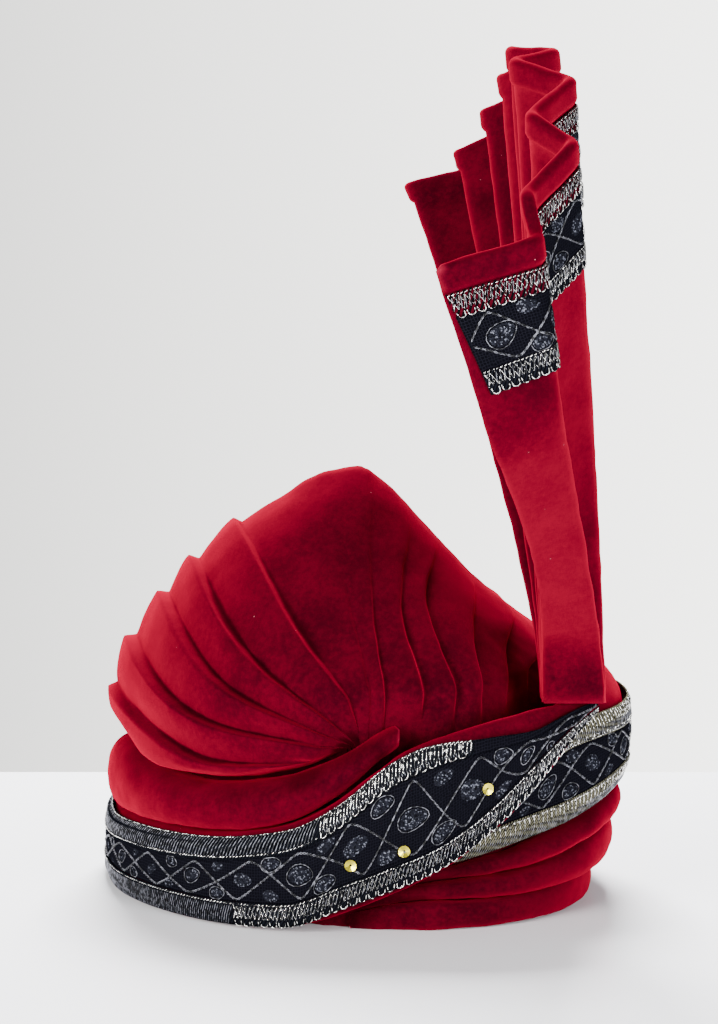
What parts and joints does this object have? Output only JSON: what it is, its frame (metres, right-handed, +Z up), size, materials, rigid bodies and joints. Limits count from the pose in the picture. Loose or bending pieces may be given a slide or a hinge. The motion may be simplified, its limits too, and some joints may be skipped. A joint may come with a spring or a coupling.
{
  "type": "tied turban pagri",
  "caption": "Ready-tied velvet turban with a hollow pleated crown, crossing lace-bordered wraps and an upright pleated fan; it rests on its rim and goes over a head.",
  "frame": {"origin": "middle of the outer box in plan, on the floor plane that the rim rests on", "axes": "+Z up, -Y towards the front of the wearer, +X towards the wearer's left ear, the side with the high wraps and the fan"},
  "size_m": [0.3116, 0.3762, 0.4016],
  "materials": {
    "crimson_velvet": "crimson pile velvet",
    "black_net": "black net with embroidered leaves and vines",
    "silver_thread": "silver metal thread gimp",
    "pale_gold": "pale gold foil sequin"
  },
  "bodies": {
    "root": {"rim_band": "crimson_velvet", "crown": "crimson_velvet", "wrap_over": "crimson_velvet", "wrap_under": "crimson_velvet", "roll_upper": "crimson_velvet", "fold_low": "crimson_velvet", "fold_mid": "crimson_velvet", "fold_top": "crimson_velvet", "fan": "crimson_velvet", "lace_over_net": "black_net", "lace_under_net": "black_net", "lace_fan_net": "black_net", "trim_over_lower": "silver_thread", "trim_over_upper": "silver_thread", "trim_under_lower": "silver_thread", "trim_under_upper": "silver_thread", "trim_fan_lower": "silver_thread", "trim_fan_upper": "silver_thread", "sequin_1": "pale_gold", "sequin_2": "pale_gold", "sequin_3": "pale_gold"}
  },
  "joints": []
}
